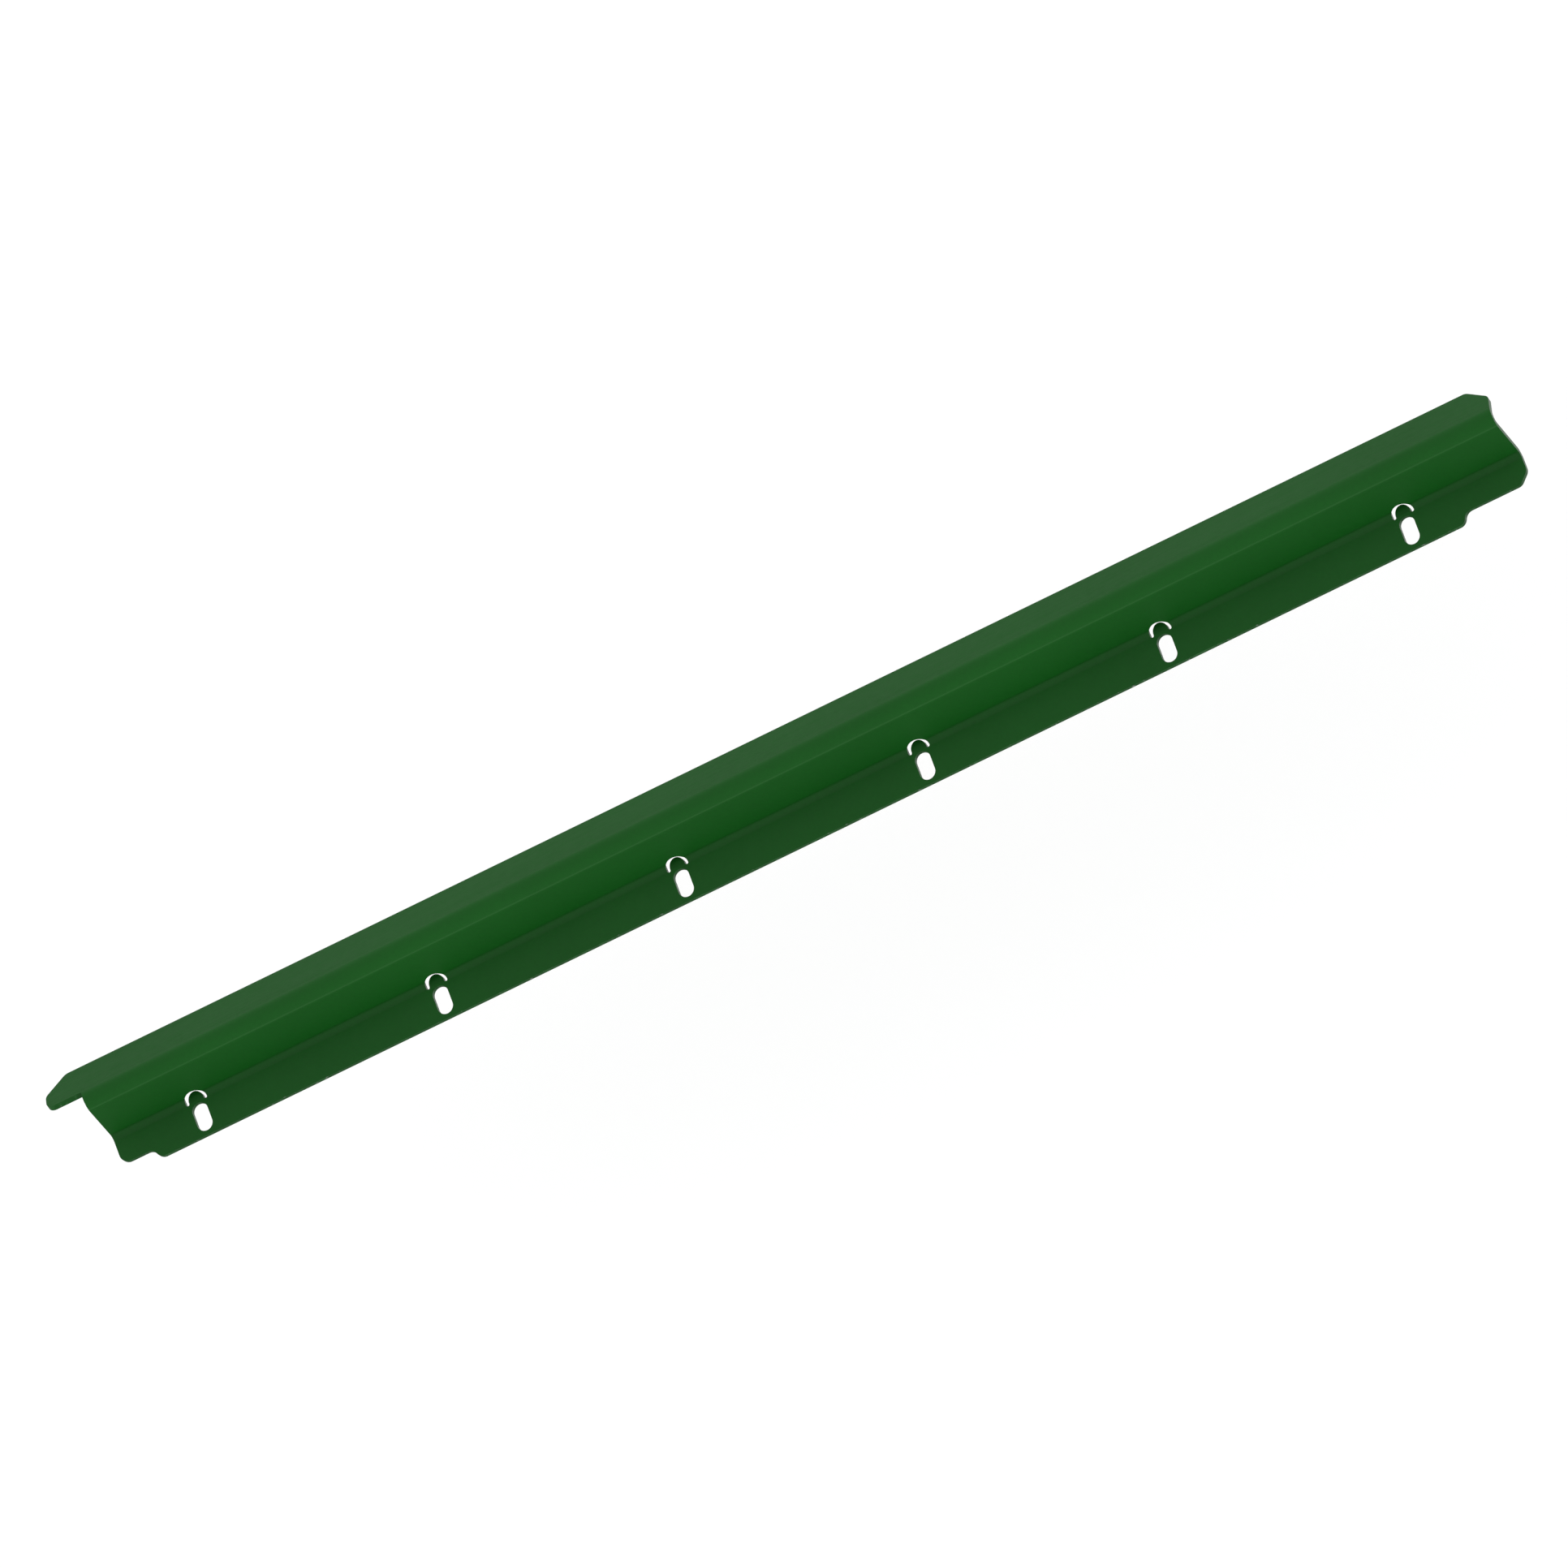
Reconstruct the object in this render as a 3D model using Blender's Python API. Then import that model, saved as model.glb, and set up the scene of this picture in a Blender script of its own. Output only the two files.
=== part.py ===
"""Straight slide rail: one strip of sheet steel, punched, lanced and bent twice.

The flat blank is drawn first (outline, slots and the gaps round the tabs), then every
point of it is carried onto the bent section for the front and the back face.
The rail lies along X. The back of its slotted flange is the plane z = 0, where it is
bolted down, and the origin is on that face in the middle of the slot row. The web rises
from the flange and the top flange falls away behind it, towards +Y.
Lengths in the constants are millimetres, the objects are in metres.
"""
import math

import bmesh
import bpy
from mathutils.geometry import delaunay_2d_cdt

# Sheet and bends
SHEET = 4.0
RIDGE_BEND = math.radians(105.0)
VALLEY_BEND = math.radians(70.0)
BEND_RADIUS = 5.0  # inside of both bends
K_FACTOR = 0.4

# Front-face widths up to the theoretical sharp corners
TOP_FLANGE = 39.5
WEB = 44.0
LOWER_FLANGE = 27.2

# Lengths along the rail, from the middle of the slot row
TONGUE_END = -537.7
LEFT_END = -512.0
RIGHT_END = 537.7

# Corners of the blank
CHAMFER_ALONG = 15.7
CHAMFER_ACROSS = 14.5
CORNER_RADIUS = 6.0
FOOT_CHAMFER = 7.4
NOTCH_RADIUS = 1.0

# Raised lower edge at both ends
STEP_HEIGHT = 7.54
STEP_FROM_SLOT = 37.7
STEP_RADIUS = 6.0

# Slots with a tab above each one
SLOT_COUNT = 6
SLOT_PITCH = 180.0
SLOT_WIDTH = 11.0
SLOT_HEIGHT = 20.0
SLOT_CENTRE = 13.0  # from the lower edge
TAB_CENTRE = 25.4
TAB_HALF_WIDTH = 5.4
TAB_RISE = 6.3
GAP_CENTRE = 25.7
GAP_HALF_WIDTH = 7.75
GAP_RISE = 9.5
GAP_FOOT = 24.0

# Facets
VALLEY_FACETS = 8
RIDGE_FACETS = 12
CORNER_FACET = math.radians(11.0)
SLOT_FACETS = 10
TAB_FACETS = 12
GAP_FACETS = 16
FOOT_FACETS = 5
BAY = 60.0  # cross lines along the rail keep the triangles short
OVERRUN = 5.0  # how far the dividing lines run past the blank
MARGIN = 0.05  # round a tab, so that its own outline counts as tab

MM = 0.001


def filleted(corners):
    """Closed outline through (x, s, radius) corners, each rounded to its radius."""
    outline = []
    count = len(corners)
    for i, (x, s, radius) in enumerate(corners):
        px, ps, _ = corners[i - 1]
        nx, ns, _ = corners[(i + 1) % count]
        ax, as_ = px - x, ps - s
        bx, bs = nx - x, ns - s
        la = math.hypot(ax, as_)
        lb = math.hypot(bx, bs)
        ax, as_, bx, bs = ax / la, as_ / la, bx / lb, bs / lb
        turn = math.pi - math.acos(max(-1.0, min(1.0, ax * bx + as_ * bs)))
        setback = radius * math.tan(turn / 2.0)
        mx, ms = ax + bx, as_ + bs
        lm = math.hypot(mx, ms)
        reach = radius / math.cos(turn / 2.0)
        cx, cs = x + mx / lm * reach, s + ms / lm * reach
        start = math.atan2(s + as_ * setback - cs, x + ax * setback - cx)
        side = 1.0 if as_ * bx - ax * bs > 0.0 else -1.0
        steps = max(2, math.ceil(turn / CORNER_FACET))
        for j in range(steps + 1):
            angle = start + side * turn * j / steps
            outline.append((cx + radius * math.cos(angle), cs + radius * math.sin(angle)))
    return outline


def arc(cx, cs, rx, rs, first, last, facets):
    """Points of an elliptic arc from the first to the last angle."""
    points = []
    for i in range(facets + 1):
        angle = first + (last - first) * i / facets
        points.append((cx + rx * math.cos(angle), cs + rs * math.sin(angle)))
    return points


# Blank stations across the strip, from the lower edge to the top edge
RIDGE_OUTSIDE = BEND_RADIUS + SHEET
RIDGE_SETBACK = RIDGE_OUTSIDE * math.tan(RIDGE_BEND / 2.0)
VALLEY_SETBACK = BEND_RADIUS * math.tan(VALLEY_BEND / 2.0)
S_VALLEY = LOWER_FLANGE - VALLEY_SETBACK
S_WEB = S_VALLEY + (BEND_RADIUS + K_FACTOR * SHEET) * VALLEY_BEND
S_RIDGE = S_WEB + WEB - VALLEY_SETBACK - RIDGE_SETBACK
S_TOP = S_RIDGE + (BEND_RADIUS + K_FACTOR * SHEET) * RIDGE_BEND
S_EDGE = S_TOP + TOP_FLANGE - RIDGE_SETBACK


def blank_outline():
    last = SLOT_PITCH * (SLOT_COUNT - 1) / 2.0
    step_turn = math.acos(1.0 - STEP_HEIGHT / (2.0 * STEP_RADIUS))
    half_run = STEP_HEIGHT / math.tan(step_turn) / 2.0
    step = last + STEP_FROM_SLOT
    fillet = STEP_RADIUS - 0.01  # leaves a hair of straight edge between its two arcs
    return filleted([
        (LEFT_END, STEP_HEIGHT, CORNER_RADIUS),
        (-step - half_run, STEP_HEIGHT, fillet),
        (-step + half_run, 0.0, fillet),
        (step - half_run, 0.0, fillet),
        (step + half_run, STEP_HEIGHT, fillet),
        (RIGHT_END - FOOT_CHAMFER, STEP_HEIGHT, CORNER_RADIUS),
        (RIGHT_END, STEP_HEIGHT + FOOT_CHAMFER, CORNER_RADIUS),
        (RIGHT_END, S_EDGE - CHAMFER_ACROSS, CORNER_RADIUS),
        (RIGHT_END - CHAMFER_ALONG, S_EDGE, CORNER_RADIUS),
        (TONGUE_END + CHAMFER_ALONG, S_EDGE, CORNER_RADIUS),
        (TONGUE_END, S_EDGE - CHAMFER_ACROSS, CORNER_RADIUS),
        (TONGUE_END, S_TOP, CORNER_RADIUS),
        (LEFT_END, S_TOP, NOTCH_RADIUS),
    ])


def slot_outline(x):
    half = SLOT_WIDTH / 2.0
    reach = SLOT_HEIGHT / 2.0 - half
    top = arc(x, SLOT_CENTRE + reach, half, half, 0.0, math.pi, SLOT_FACETS)
    foot = arc(x, SLOT_CENTRE - reach, half, half, math.pi, 2.0 * math.pi, SLOT_FACETS)
    return top + foot


def gap_outline(x):
    """Horseshoe gap that frees the tab from the web on three sides."""
    width = GAP_HALF_WIDTH - TAB_HALF_WIDTH
    leg = x + TAB_HALF_WIDTH + width / 2.0
    other = x - TAB_HALF_WIDTH - width / 2.0
    round_ = width / 2.0
    foot = GAP_FOOT + round_
    outer = arc(x, GAP_CENTRE, GAP_HALF_WIDTH, GAP_RISE, 0.0, math.pi, GAP_FACETS)
    left = arc(other, foot, round_, round_, math.pi, 2.0 * math.pi, FOOT_FACETS)
    inner = arc(x, TAB_CENTRE, TAB_HALF_WIDTH, TAB_RISE, math.pi, 0.0, TAB_FACETS)
    right = arc(leg, foot, round_, round_, math.pi, 2.0 * math.pi, FOOT_FACETS)
    return outer + left + inner + right


def inside(point, polygon):
    """Even-odd test of a point against a closed outline."""
    x, s = point
    odd = False
    for i, (ax, as_) in enumerate(polygon):
        bx, bs = polygon[i - 1]
        if (as_ > s) != (bs > s):
            if x < ax + (s - as_) * (bx - ax) / (bs - as_):
                odd = not odd
    return odd


def unit(angle):
    return math.cos(angle), math.sin(angle)


def section():
    """Bent section in (y, z): face directions and normals, bend centres and lower edge."""
    top_dir = unit(VALLEY_BEND - RIDGE_BEND)  # from the ridge outwards to the top edge
    web_dir = unit(math.pi + VALLEY_BEND)  # from the ridge down to the valley
    low_dir = unit(math.pi)  # from the valley out to the lower edge
    top_n = (-top_dir[1], top_dir[0])
    web_n = (web_dir[1], -web_dir[0])
    low_n = (low_dir[1], -low_dir[0])
    ridge = (0.0, 0.0)
    valley = (WEB * web_dir[0], WEB * web_dir[1])
    share = RIDGE_OUTSIDE / (1.0 + top_n[0] * web_n[0] + top_n[1] * web_n[1])
    ridge_c = (ridge[0] - share * (top_n[0] + web_n[0]), ridge[1] - share * (top_n[1] + web_n[1]))
    share = BEND_RADIUS / (1.0 + low_n[0] * web_n[0] + low_n[1] * web_n[1])
    valley_c = (valley[0] + share * (low_n[0] + web_n[0]), valley[1] + share * (low_n[1] + web_n[1]))
    edge = (valley[0] + LOWER_FLANGE * low_dir[0], valley[1] + LOWER_FLANGE * low_dir[1])
    return top_dir, web_dir, low_dir, top_n, web_n, low_n, ridge_c, valley_c, edge


(TOP_DIR, WEB_DIR, LOW_DIR, TOP_N, WEB_N, LOW_N, RIDGE_C, VALLEY_C, LOW_EDGE) = section()


def along(point, direction, distance):
    return point[0] + direction[0] * distance, point[1] + direction[1] * distance


def bent(s, depth, on_tab):
    """(y, z) of blank station s, depth below the front face."""
    if on_tab or s <= S_VALLEY:
        return along(along(LOW_EDGE, LOW_DIR, -s), LOW_N, -depth)
    if s <= S_WEB:
        share = (s - S_VALLEY) / (S_WEB - S_VALLEY)
        angle = math.atan2(-LOW_N[1], -LOW_N[0]) + VALLEY_BEND * share
        return along(VALLEY_C, unit(angle), BEND_RADIUS + depth)
    if s <= S_RIDGE:
        start = along(VALLEY_C, WEB_N, -BEND_RADIUS)
        return along(along(start, WEB_DIR, S_WEB - s), WEB_N, -depth)
    if s <= S_TOP:
        share = (s - S_RIDGE) / (S_TOP - S_RIDGE)
        angle = math.atan2(WEB_N[1], WEB_N[0]) - RIDGE_BEND * share
        return along(RIDGE_C, unit(angle), RIDGE_OUTSIDE - depth)
    start = along(RIDGE_C, TOP_N, RIDGE_OUTSIDE)
    return along(along(start, TOP_DIR, s - S_TOP), TOP_N, -depth)


# Middle of the slot row on the back of the lower flange
ORIGIN = bent(SLOT_CENTRE, SHEET, False)


def blank_mesh():
    """Triangles of the blank, split at every bend station and cross line."""
    outline = blank_outline()
    first = -SLOT_PITCH * (SLOT_COUNT - 1) / 2.0
    centres = [first + SLOT_PITCH * i for i in range(SLOT_COUNT)]
    holes = [slot_outline(x) for x in centres] + [gap_outline(x) for x in centres]
    points = []
    edges = []
    for loop in [outline] + holes:
        base = len(points)
        points.extend(loop)
        edges.extend((base + i, base + (i + 1) % len(loop)) for i in range(len(loop)))
    stations = [S_VALLEY + (S_WEB - S_VALLEY) * i / VALLEY_FACETS for i in range(VALLEY_FACETS + 1)]
    stations += [S_RIDGE + (S_TOP - S_RIDGE) * i / RIDGE_FACETS for i in range(RIDGE_FACETS + 1)]
    for s in stations:
        edges.append((len(points), len(points) + 1))
        points.extend([(TONGUE_END - OVERRUN, s), (RIGHT_END + OVERRUN, s)])
    bays = int(SLOT_PITCH * (SLOT_COUNT - 1) / BAY)
    for i in range(bays):
        x = first + BAY * (i + 0.5)
        edges.append((len(points), len(points) + 1))
        points.extend([(x, -OVERRUN), (x, S_EDGE + OVERRUN)])
    flat, _, faces, _, _, _ = delaunay_2d_cdt(points, edges, [], 0, 1e-5)
    kept = []
    for face in faces:
        middle = (sum(flat[i][0] for i in face) / 3.0, sum(flat[i][1] for i in face) / 3.0)
        if inside(middle, outline) and not any(inside(middle, hole) for hole in holes):
            kept.append(tuple(face))
    limit = TAB_HALF_WIDTH + MARGIN
    on_tab = []
    for x, s in flat:
        near = min(abs(x - c) for c in centres)
        rise = (TAB_RISE + MARGIN) * math.sqrt(max(0.0, 1.0 - (near / limit) ** 2))
        on_tab.append(near < limit and S_VALLEY < s < TAB_CENTRE + rise)
    return flat, kept, on_tab


def build_rail():
    flat, faces, on_tab = blank_mesh()
    used = sorted({i for face in faces for i in face})
    mesh = bmesh.new()
    front = {}
    back = {}
    for i in used:
        x, s = flat[i]
        for table, depth in ((front, 0.0), (back, SHEET)):
            y, z = bent(s, depth, on_tab[i])
            place = (x * MM, (y - ORIGIN[0]) * MM, (z - ORIGIN[1]) * MM)
            table[i] = mesh.verts.new(place)
    rims = {}
    for a, b, c in faces:
        mesh.faces.new((front[a], front[b], front[c]))
        mesh.faces.new((back[c], back[b], back[a]))
        for p, q in ((a, b), (b, c), (c, a)):
            if rims.pop((q, p), None) is None:
                rims[(p, q)] = True
    for p, q in rims:
        mesh.faces.new((front[q], front[p], back[p], back[q]))
    bmesh.ops.recalc_face_normals(mesh, faces=mesh.faces[:])
    data = bpy.data.meshes.new("slide_rail")
    mesh.to_mesh(data)
    mesh.free()
    return bpy.data.objects.new("slide_rail", data)


def paint():
    material = bpy.data.materials.new("green_paint")
    material.use_nodes = True
    shader = material.node_tree.nodes["Principled BSDF"]
    shader.inputs["Base Color"].default_value = (0.012, 0.085, 0.014, 1.0)
    shader.inputs["Roughness"].default_value = 0.45
    return material


for old in list(bpy.context.scene.objects):
    bpy.data.objects.remove(old, do_unlink=True)

rail = build_rail()
rail.data.materials.append(paint())
bpy.context.scene.collection.objects.link(rail)
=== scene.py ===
"""Straight slide rail: fine surface, paint, studio and camera.

The rail is one strip of sheet steel. Its flat blank is drawn first (outline, slots and the
gaps round the tabs) with softened edges, then every point of it is carried onto the bent
section. Lengths in the constants are millimetres, the objects are in metres.
"""
import math

import bmesh
import bpy
from mathutils import Matrix, Vector
from mathutils.geometry import delaunay_2d_cdt


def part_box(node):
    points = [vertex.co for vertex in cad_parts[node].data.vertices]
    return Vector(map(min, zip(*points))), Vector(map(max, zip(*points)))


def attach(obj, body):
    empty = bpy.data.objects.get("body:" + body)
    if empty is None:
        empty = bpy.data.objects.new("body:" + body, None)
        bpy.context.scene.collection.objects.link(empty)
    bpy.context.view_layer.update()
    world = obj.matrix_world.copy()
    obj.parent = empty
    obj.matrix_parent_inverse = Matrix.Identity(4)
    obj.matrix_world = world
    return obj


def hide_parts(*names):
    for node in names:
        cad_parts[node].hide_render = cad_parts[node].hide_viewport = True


MM = 0.001

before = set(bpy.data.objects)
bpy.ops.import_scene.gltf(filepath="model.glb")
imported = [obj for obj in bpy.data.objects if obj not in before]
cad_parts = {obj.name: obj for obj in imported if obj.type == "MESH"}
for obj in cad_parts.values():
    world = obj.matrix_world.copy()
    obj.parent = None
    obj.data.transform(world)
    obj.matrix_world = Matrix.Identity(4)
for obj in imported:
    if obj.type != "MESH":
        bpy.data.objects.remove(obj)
CAD_LOW, CAD_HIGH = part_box("slide_rail")
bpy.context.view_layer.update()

# Sheet and bends
SHEET = 4.0
RIDGE_BEND = math.radians(105.0)
VALLEY_BEND = math.radians(70.0)
BEND_RADIUS = 5.0  # inside of both bends
K_FACTOR = 0.4

# Front-face widths up to the theoretical sharp corners
TOP_FLANGE = 39.5
WEB = 44.0
LOWER_FLANGE = 27.2

# Lengths along the rail, from the middle of the slot row
TONGUE_END = CAD_LOW.x / MM
LEFT_END = TONGUE_END + 25.7
RIGHT_END = CAD_HIGH.x / MM

# Corners of the blank
CHAMFER_ALONG = 15.7
CHAMFER_ACROSS = 14.5
CORNER_RADIUS = 6.0
FOOT_CHAMFER = 7.4
NOTCH_RADIUS = 1.0

# Raised lower edge at both ends
STEP_HEIGHT = 7.54
STEP_FROM_SLOT = 37.7
STEP_RADIUS = 6.0

# Slots with a tab above each one
SLOT_COUNT = 6
SLOT_PITCH = 180.0
SLOT_WIDTH = 11.0
SLOT_HEIGHT = 20.0
SLOT_CENTRE = 13.0  # from the lower edge
TAB_CENTRE = 25.4
TAB_HALF_WIDTH = 5.4
TAB_RISE = 6.3
GAP_CENTRE = 25.7
GAP_HALF_WIDTH = 7.75
GAP_RISE = 9.5
GAP_FOOT = 24.0

# Softened edges of the painted sheet
EDGE_RADIUS = 0.2
EDGE_FACETS = 4

# Facets
VALLEY_FACETS = 24
RIDGE_FACETS = 36
CORNER_FACET = math.radians(4.0)
SLOT_FACETS = 36
TAB_FACETS = 36
GAP_FACETS = 44
FOOT_FACETS = 12
BAY = 20.0  # cross lines along the rail keep the triangles short
OVERRUN = 5.0  # how far the dividing lines run past the blank
MARGIN = 0.05  # round a tab, so that its own outline counts as tab
NEARBY = 3.0 * GAP_HALF_WIDTH  # only holes this close along the rail can hold a point
SAME_POINT = 1e-4
WELD = 1e-5

# Paint
BASE_COLOUR = (0.0030, 0.0728, 0.0052)
RUBBED_COLOUR = (0.035, 0.14, 0.04)
ROUGHNESS = 0.42
SPECULAR_LEVEL = 0.15
# Painted highlight line along the ridge: its place, width and added tint
HIGHLIGHT_LINE_FROM_WEB = 1.5
HIGHLIGHT_LINE_WIDTH = 0.5
HIGHLIGHT_LINE_TINT = (0.010, 0.022, 0.010)
PRIMER_COLOUR = (0.16, 0.19, 0.16)
STREAK_SCALE = (7.0, 420.0, 420.0)
PEEL_STRENGTH = 0.5
PEEL_HEIGHT = 0.00008  # metres
RUB_START = 8.0  # how far below the ridge's end the sliding streaks begin

# Noise of the paint: scale per metre, detail, roughness
DRIFT_NOISE = (9.0, 3.0, 0.5)
MOTTLE_NOISE = (380.0, 5.0, 0.65)
PATCH_NOISE = (160.0, 5.0, 0.65)
CHIP_NOISE = (330.0, 3.0, 0.55)
STREAK_NOISE = (1.0, 4.0, 0.6)
PEEL_NOISE = (650.0, 2.0, 0.5)

# Ramps of the paint: (noise level or share of the rim, factor)
DRIFT_STOPS = ((0.3, 0.95), (0.7, 1.05))
MOTTLE_STOPS = ((0.35, 0.93), (0.65, 1.0))
# Painted shade on the rims: factor from the face to the full rim
RIM_SHADE_STOPS = ((0.0, 1.0), (1.0, 0.82))
RUBBED_STOPS = ((0.50, 0.0), (0.70, 0.45))
CHIP_STOPS = ((0.66, 0.0), (0.69, 0.8))
STREAK_STOPS = ((0.40, 0.84), (0.62, 1.0))
GLOSS_STOPS = ((0.3, ROUGHNESS - 0.04), (0.7, ROUGHNESS + 0.06))

# Dome strength: from and to heights on the unit sphere, strengths there
DOME_RAMP = (-0.35, -0.03, 0.35, 1.0)
# Low glow at the right that shows on the cut faces: from and to cosines, strengths there
GLOW_DIRECTION = (0.55, 0.25, -0.80)
GLOW_RAMP = (0.72, 0.95, 0.0, 1.3)

# Viewpoint: the section is tipped, turned and rolled against the line of sight
SIGHT_TIP = math.radians(21.65)
SIGHT_TURN = math.radians(13.56)
SIGHT_ROLL = math.radians(-25.92)
FRAME_WIDTH = 1021.6
AIM = (6.2, 17.02, 40.50)
LENS = 1400.0
SENSOR = 36.0
CLIP = (1.0, 200.0)  # metres

# Floor
FLOOR_DROP = 350.0
FLOOR_HALF = 10.0  # metres
FLOOR_ALBEDO = 0.95
FLOOR_ROUGHNESS = 0.9

# Softboxes: metres and watts
SOFTBOX_SIZE = (2.4, 0.6)
SOFTBOX_AWAY = 2.0
SOFTBOX_HEIGHT = 0.35
FRONT_ENERGY = 12.5
BACK_ENERGY = 9.0


def filleted(corners):
    """Closed outline through (x, s, radius) corners, each rounded to its radius."""
    outline = []
    count = len(corners)
    for i, (x, s, radius) in enumerate(corners):
        here = Vector((x, s))
        before = (Vector(corners[i - 1][:2]) - here).normalized()
        after = (Vector(corners[(i + 1) % count][:2]) - here).normalized()
        turn = math.pi - before.angle(after)
        setback = radius * math.tan(turn / 2.0)
        centre = here + (before + after).normalized() * radius / math.cos(turn / 2.0)
        spoke = here + before * setback - centre
        start = math.atan2(spoke.y, spoke.x)
        side = math.copysign(1.0, before.y * after.x - before.x * after.y)
        steps = max(2, math.ceil(turn / CORNER_FACET))
        for j in range(steps + 1):
            angle = start + side * turn * j / steps
            outline.append((centre.x + radius * math.cos(angle), centre.y + radius * math.sin(angle)))
    return outline


def arc(cx, cs, rx, rs, first, last, facets):
    """Points of an elliptic arc from the first to the last angle."""
    points = []
    for i in range(facets + 1):
        angle = first + (last - first) * i / facets
        points.append((cx + rx * math.cos(angle), cs + rs * math.sin(angle)))
    return points


# Blank stations across the strip, from the lower edge to the top edge
RIDGE_OUTSIDE = BEND_RADIUS + SHEET
RIDGE_SETBACK = RIDGE_OUTSIDE * math.tan(RIDGE_BEND / 2.0)
VALLEY_SETBACK = BEND_RADIUS * math.tan(VALLEY_BEND / 2.0)
S_VALLEY = LOWER_FLANGE - VALLEY_SETBACK
S_WEB = S_VALLEY + (BEND_RADIUS + K_FACTOR * SHEET) * VALLEY_BEND
S_RIDGE = S_WEB + WEB - VALLEY_SETBACK - RIDGE_SETBACK
S_TOP = S_RIDGE + (BEND_RADIUS + K_FACTOR * SHEET) * RIDGE_BEND
S_EDGE = S_TOP + TOP_FLANGE - RIDGE_SETBACK


def blank_outline():
    last = SLOT_PITCH * (SLOT_COUNT - 1) / 2.0
    step_turn = math.acos(1.0 - STEP_HEIGHT / (2.0 * STEP_RADIUS))
    half_run = STEP_HEIGHT / math.tan(step_turn) / 2.0
    step = last + STEP_FROM_SLOT
    fillet = STEP_RADIUS - 0.01  # leaves a hair of straight edge between its two arcs
    return filleted([
        (LEFT_END, STEP_HEIGHT, CORNER_RADIUS),
        (-step - half_run, STEP_HEIGHT, fillet),
        (-step + half_run, 0.0, fillet),
        (step - half_run, 0.0, fillet),
        (step + half_run, STEP_HEIGHT, fillet),
        (RIGHT_END - FOOT_CHAMFER, STEP_HEIGHT, CORNER_RADIUS),
        (RIGHT_END, STEP_HEIGHT + FOOT_CHAMFER, CORNER_RADIUS),
        (RIGHT_END, S_EDGE - CHAMFER_ACROSS, CORNER_RADIUS),
        (RIGHT_END - CHAMFER_ALONG, S_EDGE, CORNER_RADIUS),
        (TONGUE_END + CHAMFER_ALONG, S_EDGE, CORNER_RADIUS),
        (TONGUE_END, S_EDGE - CHAMFER_ACROSS, CORNER_RADIUS),
        (TONGUE_END, S_TOP, CORNER_RADIUS),
        (LEFT_END, S_TOP, NOTCH_RADIUS),
    ])


def slot_outline(x):
    half = SLOT_WIDTH / 2.0
    reach = SLOT_HEIGHT / 2.0 - half
    top = arc(x, SLOT_CENTRE + reach, half, half, 0.0, math.pi, SLOT_FACETS)
    foot = arc(x, SLOT_CENTRE - reach, half, half, math.pi, 2.0 * math.pi, SLOT_FACETS)
    return top + foot


def gap_outline(x):
    """Horseshoe gap that frees the tab from the web on three sides."""
    width = GAP_HALF_WIDTH - TAB_HALF_WIDTH
    leg = x + TAB_HALF_WIDTH + width / 2.0
    other = x - TAB_HALF_WIDTH - width / 2.0
    round_ = width / 2.0
    foot = GAP_FOOT + round_
    outer = arc(x, GAP_CENTRE, GAP_HALF_WIDTH, GAP_RISE, 0.0, math.pi, GAP_FACETS)
    left = arc(other, foot, round_, round_, math.pi, 2.0 * math.pi, FOOT_FACETS)
    inner = arc(x, TAB_CENTRE, TAB_HALF_WIDTH, TAB_RISE, math.pi, 0.0, TAB_FACETS)
    right = arc(leg, foot, round_, round_, math.pi, 2.0 * math.pi, FOOT_FACETS)
    return outer + left + inner + right


def thinned(loop):
    """The loop without points that fall together."""
    kept = []
    for point in loop:
        if not kept or math.dist(point, kept[-1]) > SAME_POINT:
            kept.append(point)
    if math.dist(kept[0], kept[-1]) < SAME_POINT:
        kept.pop()
    return kept


def shifted(loop, distance):
    """The loop moved sideways by a distance, to the left of its direction of travel."""
    moved = []
    count = len(loop)
    for i in range(count):
        here = Vector(loop[i])
        arriving = (here - Vector(loop[i - 1])).normalized()
        leaving = (Vector(loop[(i + 1) % count]) - here).normalized()
        left = Vector((-arriving.y - leaving.y, arriving.x + leaving.x)).normalized()
        share = max(0.5, left.dot(Vector((-arriving.y, arriving.x))))
        moved.append(tuple(here + left * distance / share))
    return moved


def area(loop):
    """Signed area of a closed outline, positive anticlockwise."""
    total = 0.0
    for i, (x, s) in enumerate(loop):
        px, ps = loop[i - 1]
        total += px * s - x * ps
    return total / 2.0


def travelling(loop, anticlockwise):
    """The loop in the wanted direction, so that the sheet is on its left."""
    if (area(loop) > 0.0) == anticlockwise:
        return loop
    return loop[::-1]


def inside(point, polygon):
    """Even-odd test of a point against a closed outline."""
    x, s = point
    odd = False
    for i, (ax, as_) in enumerate(polygon):
        bx, bs = polygon[i - 1]
        if (as_ > s) != (bs > s):
            if x < ax + (s - as_) * (bx - ax) / (bs - as_):
                odd = not odd
    return odd


def unit(angle):
    return Vector((math.cos(angle), math.sin(angle)))


def turned_left(direction):
    return Vector((-direction.y, direction.x))


# Bent section in (y, z): directions of the faces, their normals and the bend centres
TOP_DIR = unit(VALLEY_BEND - RIDGE_BEND)
WEB_DIR = unit(math.pi + VALLEY_BEND)
LOW_DIR = unit(math.pi)
TOP_N = turned_left(TOP_DIR)
WEB_N = -turned_left(WEB_DIR)
LOW_N = -turned_left(LOW_DIR)
RIDGE_C = -(TOP_N + WEB_N) * RIDGE_OUTSIDE / (1.0 + TOP_N.dot(WEB_N))
VALLEY = WEB_DIR * WEB
VALLEY_C = VALLEY + (LOW_N + WEB_N) * BEND_RADIUS / (1.0 + LOW_N.dot(WEB_N))
LOW_EDGE = VALLEY + LOW_DIR * LOWER_FLANGE
WEB_START = VALLEY_C - WEB_N * BEND_RADIUS
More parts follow.
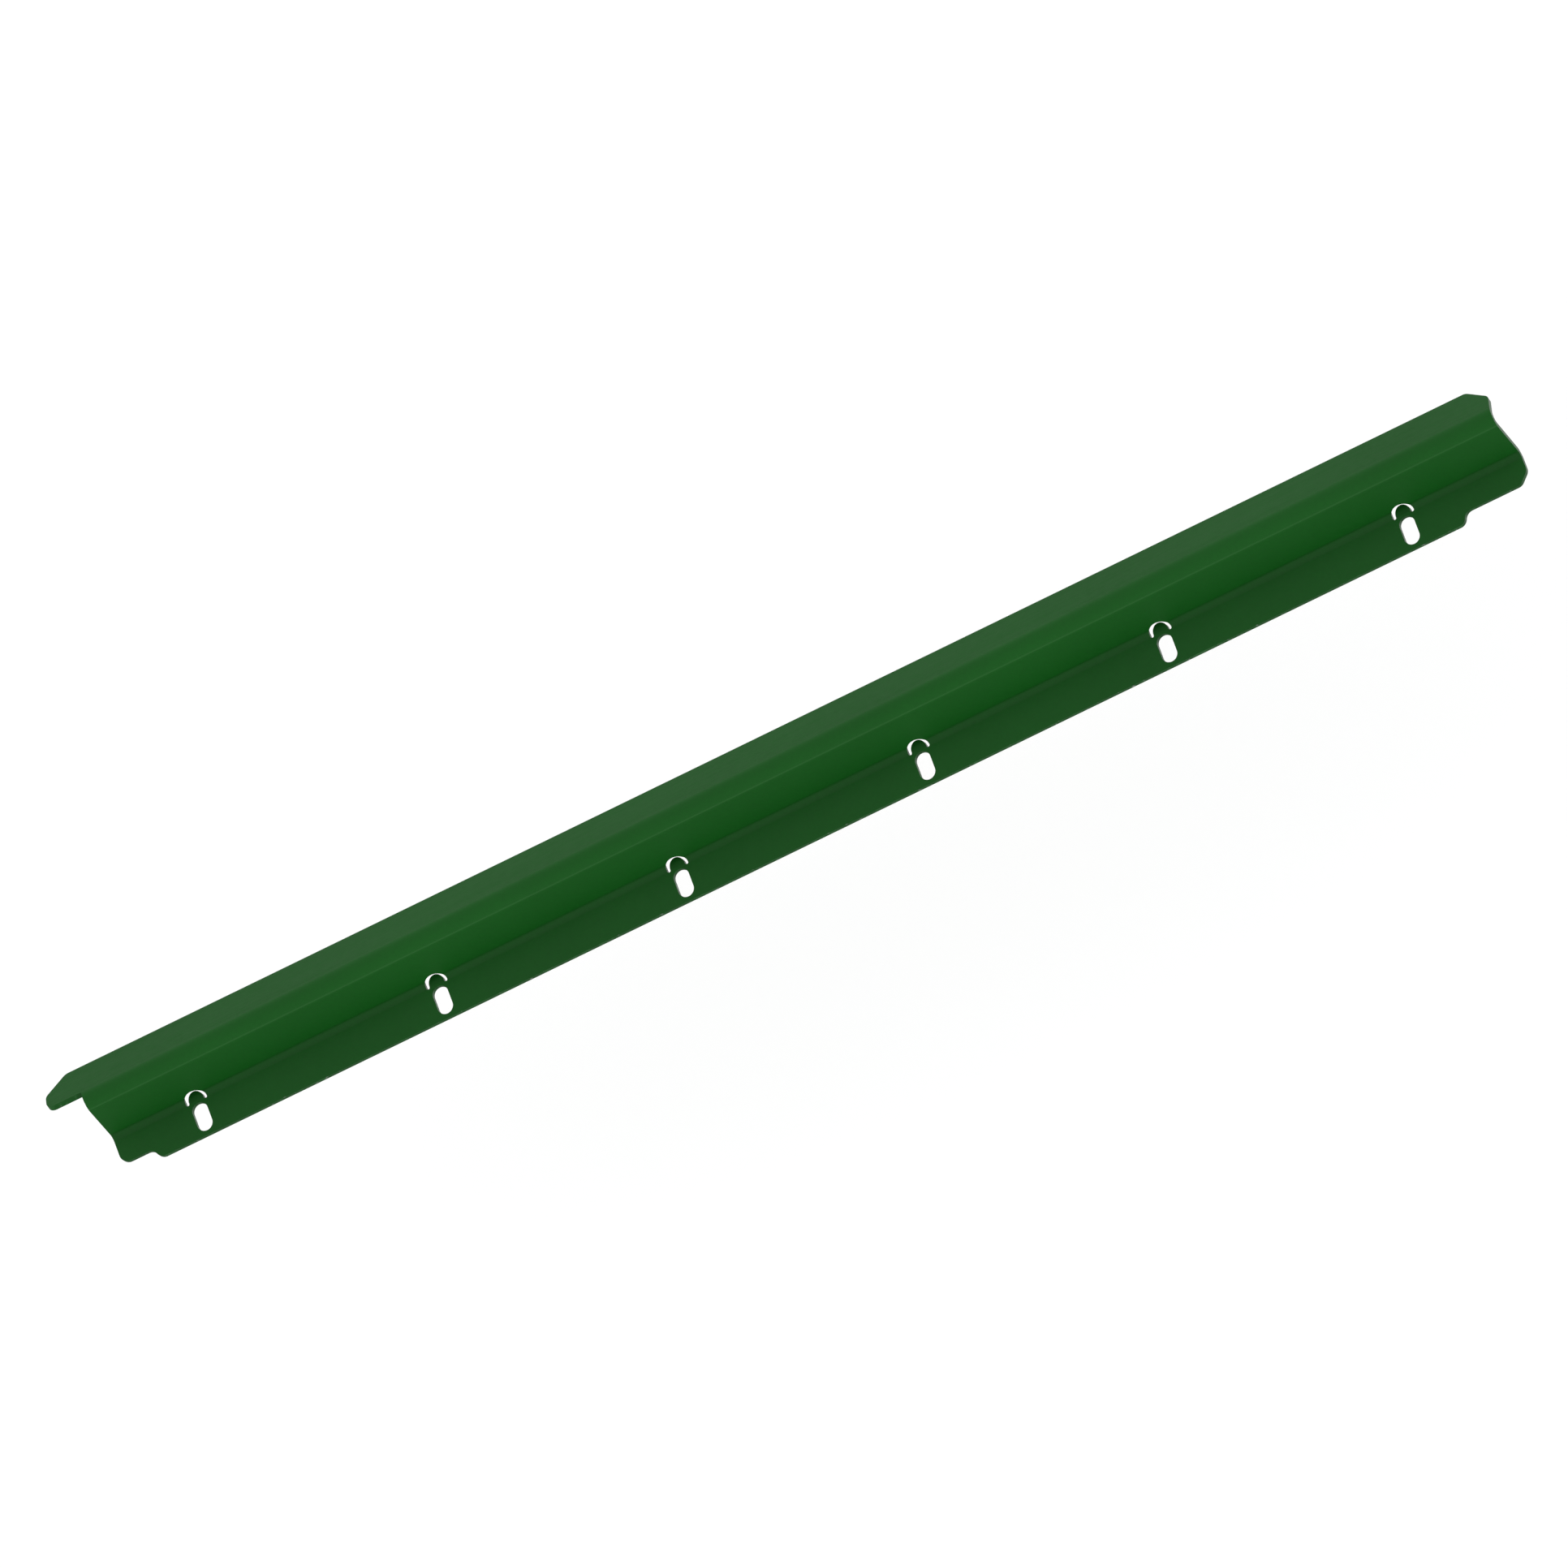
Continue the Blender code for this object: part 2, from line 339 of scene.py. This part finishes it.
TOP_START = RIDGE_C + TOP_N * RIDGE_OUTSIDE
ORIGIN = LOW_EDGE - LOW_DIR * SLOT_CENTRE - LOW_N * SHEET


def bent(s, depth, on_tab):
    """Point (y, z) of blank station s at a depth below the front face, and the face normal."""
    if on_tab or s <= S_VALLEY:
        return LOW_EDGE - LOW_DIR * s - LOW_N * depth, LOW_N
    if s <= S_WEB:
        share = (s - S_VALLEY) / (S_WEB - S_VALLEY)
        out = unit(math.atan2(-LOW_N.y, -LOW_N.x) + VALLEY_BEND * share)
        return VALLEY_C + out * (BEND_RADIUS + depth), -out
    if s <= S_RIDGE:
        return WEB_START + WEB_DIR * (S_WEB - s) - WEB_N * depth, WEB_N
    if s <= S_TOP:
        share = (s - S_RIDGE) / (S_TOP - S_RIDGE)
        out = unit(math.atan2(WEB_N.y, WEB_N.x) - RIDGE_BEND * share)
        return RIDGE_C + out * (RIDGE_OUTSIDE - depth), out
    return TOP_START + TOP_DIR * (s - S_TOP) - TOP_N * depth, TOP_N


def on_tab(x, s, centres):
    """Whether a blank point lies on a lanced tab, which stays flat with the lower flange."""
    near = min(abs(x - c) for c in centres)
    limit = TAB_HALF_WIDTH + MARGIN
    if near >= limit or s <= S_VALLEY:
        return False
    return s < TAB_CENTRE + (TAB_RISE + MARGIN) * math.sqrt(1.0 - (near / limit) ** 2)


def blank_mesh(centres):
    """Triangles of the blank inside its softened edges, split at every bend station."""
    outline = travelling(thinned(blank_outline()), True)
    holes = [travelling(thinned(slot_outline(x)), False) for x in centres]
    holes += [travelling(thinned(gap_outline(x)), False) for x in centres]
    loops = [shifted(loop, EDGE_RADIUS) for loop in [outline] + holes]
    points = []
    edges = []
    for loop in loops:
        base = len(points)
        points.extend(loop)
        edges.extend((base + i, base + (i + 1) % len(loop)) for i in range(len(loop)))
    stations = [S_VALLEY + (S_WEB - S_VALLEY) * i / VALLEY_FACETS for i in range(VALLEY_FACETS + 1)]
    stations += [S_RIDGE + (S_TOP - S_RIDGE) * i / RIDGE_FACETS for i in range(RIDGE_FACETS + 1)]
    for s in stations:
        edges.append((len(points), len(points) + 1))
        points.extend([(TONGUE_END - OVERRUN, s), (RIGHT_END + OVERRUN, s)])
    bays = round((RIGHT_END - TONGUE_END) / BAY)
    for i in range(1, bays):
        x = TONGUE_END + (RIGHT_END - TONGUE_END) * i / bays
        edges.append((len(points), len(points) + 1))
        points.extend([(x, -OVERRUN), (x, S_EDGE + OVERRUN)])
    flat, _, faces, _, _, _ = delaunay_2d_cdt(points, edges, [], 0, WELD)
    kept = []
    for face in faces:
        middle = (sum(flat[i][0] for i in face) / 3.0, sum(flat[i][1] for i in face) / 3.0)
        near = [loop for loop in loops[1:] if abs(loop[0][0] - middle[0]) < NEARBY]
        if inside(middle, loops[0]) and not any(inside(middle, loop) for loop in near):
            kept.append(tuple(face))
    return flat, kept


def rim_loops(faces):
    """Closed loops of the triangles' free sides, with the sheet on the left."""
    sides = set()
    for a, b, c in faces:
        for side in ((a, b), (b, c), (c, a)):
            if (side[1], side[0]) in sides:
                sides.remove((side[1], side[0]))
            else:
                sides.add(side)
    follow = dict(sides)
    loops = []
    while follow:
        start, here = follow.popitem()
        loop = [start]
        while here != start:
            loop.append(here)
            here = follow.pop(here)
        loops.append(loop)
    return loops


def edge_profile():
    """(share of the edge radius to the rim, depth, angle) from the front face to the back."""
    profile = []
    for i in range(EDGE_FACETS + 1):
        angle = math.pi / 2.0 * i / EDGE_FACETS
        profile.append((math.sin(angle), EDGE_RADIUS * (1.0 - math.cos(angle)), angle))
    for share, depth, angle in profile[::-1]:
        profile.append((share, SHEET - depth, math.pi - angle))
    return profile


def build_rail():
    first = -SLOT_PITCH * (SLOT_COUNT - 1) / 2.0
    centres = [first + SLOT_PITCH * i for i in range(SLOT_COUNT)]
    flat, faces = blank_mesh(centres)
    mesh = bmesh.new()
    rim_share = mesh.verts.layers.float.new("rim")
    front_share = mesh.verts.layers.float.new("front")
    across_share = mesh.verts.layers.float.new("across")
    normals = []

    def added(x, s, depth, tab, outward, angle):
        place, face_n = bent(s, depth, tab)
        along_s = Vector((face_n.y, -face_n.x))
        y, z = place - ORIGIN
        vert = mesh.verts.new((x * MM, y * MM, z * MM))
        vert[rim_share] = math.sin(angle)
        vert[front_share] = float(depth < SHEET / 2.0)
        vert[across_share] = s / S_EDGE
        across = along_s * outward.y * math.sin(angle) + face_n * math.cos(angle)
        normals.append(Vector((outward.x * math.sin(angle), across.x, across.y)))
        return vert

    still = Vector((0.0, 0.0))
    tabs = {}
    front = {}
    back = {}
    for i in sorted({i for face in faces for i in face}):
        x, s = flat[i]
        tabs[i] = on_tab(x, s, centres)
        front[i] = added(x, s, 0.0, tabs[i], still, 0.0)
        back[i] = added(x, s, SHEET, tabs[i], still, math.pi)
    for a, b, c in faces:
        mesh.faces.new((front[a], front[b], front[c]))
        mesh.faces.new((back[c], back[b], back[a]))
    profile = edge_profile()
    for loop in rim_loops(faces):
        course = [tuple(flat[i]) for i in loop]
        rims = shifted(course, -EDGE_RADIUS)
        columns = []
        for i, here, rim in zip(loop, course, rims):
            step = Vector(rim) - Vector(here)
            outward = step.normalized()
            column = [front[i]]
            for share, depth, angle in profile[1:-1]:
                x, s = here[0] + step.x * share, here[1] + step.y * share
                column.append(added(x, s, depth, tabs[i], outward, angle))
            column.append(back[i])
            columns.append(column)
        for j, column in enumerate(columns):
            other = columns[j - 1]
            for k in range(len(column) - 1):
                mesh.faces.new((column[k], other[k], other[k + 1], column[k + 1]))
    data = bpy.data.meshes.new("painted_rail")
    mesh.to_mesh(data)
    mesh.free()
    data.shade_smooth()
    data.normals_split_custom_set_from_vertices([n.normalized() for n in normals])
    rail = bpy.data.objects.new("painted_rail", data)
    bpy.context.scene.collection.objects.link(rail)
    return rail


def ramp(tree, source, *stops):
    """Colour ramp through (position, colour) stops along the source."""
    made = tree.nodes.new("ShaderNodeValToRGB")
    elements = made.color_ramp.elements
    while len(elements) < len(stops):
        elements.new(0.5)
    for element, (position, colour) in zip(elements, stops):
        element.position = position
        element.color = (*colour, 1.0)
    tree.links.new(source, made.inputs["Fac"])
    return made.outputs["Color"]


def grey_ramp(tree, source, stops):
    """Ramp of greys through (position, level) stops."""
    return ramp(tree, source, *((position, (level,) * 3) for position, level in stops))


def section_ramp(tree, across, *stops):
    """Ramp of greys across the strip through (blank station, level) stops."""
    return grey_ramp(tree, across, [(s / S_EDGE, level) for s, level in stops])


def attribute(tree, name):
    made = tree.nodes.new("ShaderNodeAttribute")
    made.attribute_name = name
    return made.outputs["Fac"]


def noise(tree, place, settings):
    scale, detail, roughness = settings
    made = tree.nodes.new("ShaderNodeTexNoise")
    made.inputs["Scale"].default_value = scale
    made.inputs["Detail"].default_value = detail
    made.inputs["Roughness"].default_value = roughness
    tree.links.new(place, made.inputs["Vector"])
    return made.outputs["Fac"]


def combined(tree, operation, first, second):
    made = tree.nodes.new("ShaderNodeMath")
    made.operation = operation
    tree.links.new(first, made.inputs[0])
    tree.links.new(second, made.inputs[1])
    return made.outputs[0]


def product(tree, first, second):
    return combined(tree, "MULTIPLY", first, second)


def remapped(tree, source, limits):
    """Value along the source: its from and to limits, and the results there."""
    made = tree.nodes.new("ShaderNodeMapRange")
    for name, value in zip(("From Min", "From Max", "To Min", "To Max"), limits):
        made.inputs[name].default_value = value
    tree.links.new(source, made.inputs["Value"])
    return made.outputs["Result"]


def blended(tree, kind, share, first, second):
    """Two colours blended; share and second are sockets or constants."""
    made = tree.nodes.new("ShaderNodeMix")
    made.data_type = "RGBA"
    made.blend_type = kind
    tree.links.new(first, made.inputs["A"])
    for name, value in (("Factor", share), ("B", second)):
        if isinstance(value, bpy.types.NodeSocket):
            tree.links.new(value, made.inputs[name])
        else:
            made.inputs[name].default_value = value
    return made.outputs["Result"]


def green_paint():
    material = bpy.data.materials.new("green_paint")
    material.use_nodes = True
    tree = material.node_tree
    shader = tree.nodes["Principled BSDF"]
    shader.inputs["Specular IOR Level"].default_value = SPECULAR_LEVEL
    place = tree.nodes.new("ShaderNodeTexCoord").outputs["Object"]
    front = attribute(tree, "front")
    across = attribute(tree, "across")

    # Slow drift of the coat's colour along the rail, and fine mottling of its pigment
    tints = [(position, tuple(level * c for c in BASE_COLOUR)) for position, level in DRIFT_STOPS]
    coat = ramp(tree, noise(tree, place, DRIFT_NOISE), *tints)
    mottle = grey_ramp(tree, noise(tree, place, MOTTLE_NOISE), MOTTLE_STOPS)
    coat = blended(tree, "MULTIPLY", 1.0, coat, mottle)

    # Painted light and shade across the section: painted light on the ridge, painted shade darkening
    # the valley, and each flat face set lighter or darker for how the light falls on it
    painted_light_and_shade = section_ramp(
        tree, across,
        (0.0, 0.90), (S_VALLEY - 0.5, 0.90),
        (S_VALLEY + 2.0, 0.74), (S_WEB - 0.5, 0.68),
        (S_WEB + 1.0, 0.88), (S_RIDGE + 0.5, 0.96),
        (S_RIDGE + 5.0, 1.0), (S_TOP - 1.0, 1.0),
        (S_TOP + 0.5, 0.955), (S_EDGE, 0.955),
    )
    coat = blended(tree, "MULTIPLY", front, coat, painted_light_and_shade)

    # Painted highlight: a thin light line added where the ridge runs into the web
    highlight_station = S_RIDGE + HIGHLIGHT_LINE_FROM_WEB
    highlight_mask = section_ramp(
        tree, across,
        (highlight_station - HIGHLIGHT_LINE_WIDTH, 0.0), (highlight_station, 1.0), (highlight_station + HIGHLIGHT_LINE_WIDTH, 0.0),
    )
    coat = blended(tree, "ADD", product(tree, highlight_mask, front), coat, (*HIGHLIGHT_LINE_TINT, 1.0))

    # Painted shade darkens the rims; they are also rubbed lighter in patches, with small chips down
    # to the grey primer
    rim = attribute(tree, "rim")
    coat = blended(tree, "MULTIPLY", 1.0, coat, grey_ramp(tree, rim, RIM_SHADE_STOPS))
    patches = noise(tree, place, PATCH_NOISE)
    rubbed = grey_ramp(tree, patches, RUBBED_STOPS)
    coat = blended(tree, "MIX", product(tree, rubbed, rim), coat, (*RUBBED_COLOUR, 1.0))
    chips = grey_ramp(tree, noise(tree, place, CHIP_NOISE), CHIP_STOPS)
    coat = blended(tree, "MIX", product(tree, chips, rim), coat, (*PRIMER_COLOUR, 1.0))
    tree.links.new(coat, shader.inputs["Base Color"])

    # Sheen that varies with the coat's thickness, and streaks where parts slide along the top
    gloss = grey_ramp(tree, patches, GLOSS_STOPS)
    stretched = tree.nodes.new("ShaderNodeMapping")
    stretched.inputs["Scale"].default_value = STREAK_SCALE
    tree.links.new(place, stretched.inputs["Vector"])
    streaks = noise(tree, stretched.outputs["Vector"], STREAK_NOISE)
    streaks = grey_ramp(tree, streaks, STREAK_STOPS)
    slid = section_ramp(tree, across, (S_TOP - RUB_START, 0.0), (S_TOP, 1.0))
    gloss = blended(tree, "MULTIPLY", product(tree, slid, front), gloss, streaks)
    tree.links.new(gloss, shader.inputs["Roughness"])

    # Orange peel of a sprayed coat
    bump = tree.nodes.new("ShaderNodeBump")
    bump.inputs["Strength"].default_value = PEEL_STRENGTH
    bump.inputs["Distance"].default_value = PEEL_HEIGHT
    tree.links.new(noise(tree, place, PEEL_NOISE), bump.inputs["Height"])
    tree.links.new(bump.outputs["Normal"], shader.inputs["Normal"])
    return material


def studio_floor():
    mesh = bmesh.new()
    bmesh.ops.create_grid(mesh, x_segments=1, y_segments=1, size=FLOOR_HALF)
    data = bpy.data.meshes.new("studio_floor")
    mesh.to_mesh(data)
    mesh.free()
    floor = bpy.data.objects.new("studio_floor", data)
    floor.location.z = CAD_LOW.z - FLOOR_DROP * MM
    floor.visible_glossy = False
    bpy.context.scene.collection.objects.link(floor)
    material = bpy.data.materials.new("studio_paper")
    material.use_nodes = True
    shader = material.node_tree.nodes["Principled BSDF"]
    shader.inputs["Base Color"].default_value = (FLOOR_ALBEDO, FLOOR_ALBEDO, FLOOR_ALBEDO, 1.0)
    shader.inputs["Roughness"].default_value = FLOOR_ROUGHNESS
    shader.inputs["Specular IOR Level"].default_value = 0.0
    data.materials.append(material)
    return floor


def studio_dome():
    """White dome above, grey below where only reflections can see it, brighter at one side."""
    world = bpy.data.worlds.new("studio")
    world.use_nodes = True
    tree = world.node_tree
    direction = tree.nodes.new("ShaderNodeTexCoord").outputs["Generated"]
    split = tree.nodes.new("ShaderNodeSeparateXYZ")
    tree.links.new(direction, split.inputs[0])
    level = remapped(tree, split.outputs["Z"], DOME_RAMP)
    towards = tree.nodes.new("ShaderNodeVectorMath")
    towards.operation = "DOT_PRODUCT"
    towards.inputs[1].default_value = GLOW_DIRECTION
    tree.links.new(direction, towards.inputs[0])
    glow = remapped(tree, towards.outputs["Value"], GLOW_RAMP)
    background = tree.nodes["Background"]
    background.inputs["Color"].default_value = (1.0, 1.0, 1.0, 1.0)
    tree.links.new(combined(tree, "ADD", level, glow), background.inputs["Strength"])
    bpy.context.scene.world = world


def softbox(name, place, energy):
    lamp = bpy.data.lights.new(name, "AREA")
    lamp.shape = "RECTANGLE"
    lamp.size, lamp.size_y = SOFTBOX_SIZE
    lamp.energy = energy
    light = bpy.data.objects.new(name, lamp)
    light.location = place
    light.rotation_euler = (-Vector(place)).to_track_quat("-Z", "Y").to_euler()
    light.visible_glossy = False
    bpy.context.scene.collection.objects.link(light)


def studio_camera():
    turn = Matrix.Rotation(SIGHT_TIP, 4, "X") @ Matrix.Rotation(SIGHT_TURN, 4, "Y")
    turn = turn @ Matrix.Rotation(SIGHT_ROLL, 4, "Z")
    away = LENS / SENSOR * FRAME_WIDTH
    lens = bpy.data.cameras.new("camera")
    lens.lens = LENS
    lens.sensor_width = SENSOR
    lens.clip_start, lens.clip_end = CLIP
    camera = bpy.data.objects.new("camera", lens)
    aim = Matrix.Translation(Vector(AIM) * MM)
    camera.matrix_world = aim @ turn @ Matrix.Translation((0.0, 0.0, away * MM))
    bpy.context.scene.collection.objects.link(camera)
    bpy.context.scene.camera = camera


rail = build_rail()
rail.data.materials.append(green_paint())
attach(rail, "root")
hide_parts("slide_rail")
studio_floor()
studio_dome()
softbox("front_softbox", (0.0, -SOFTBOX_AWAY, SOFTBOX_HEIGHT), FRONT_ENERGY)
softbox("back_softbox", (0.0, SOFTBOX_AWAY, SOFTBOX_HEIGHT), BACK_ENERGY)
studio_camera()
bpy.context.scene.view_settings.view_transform = "Standard"
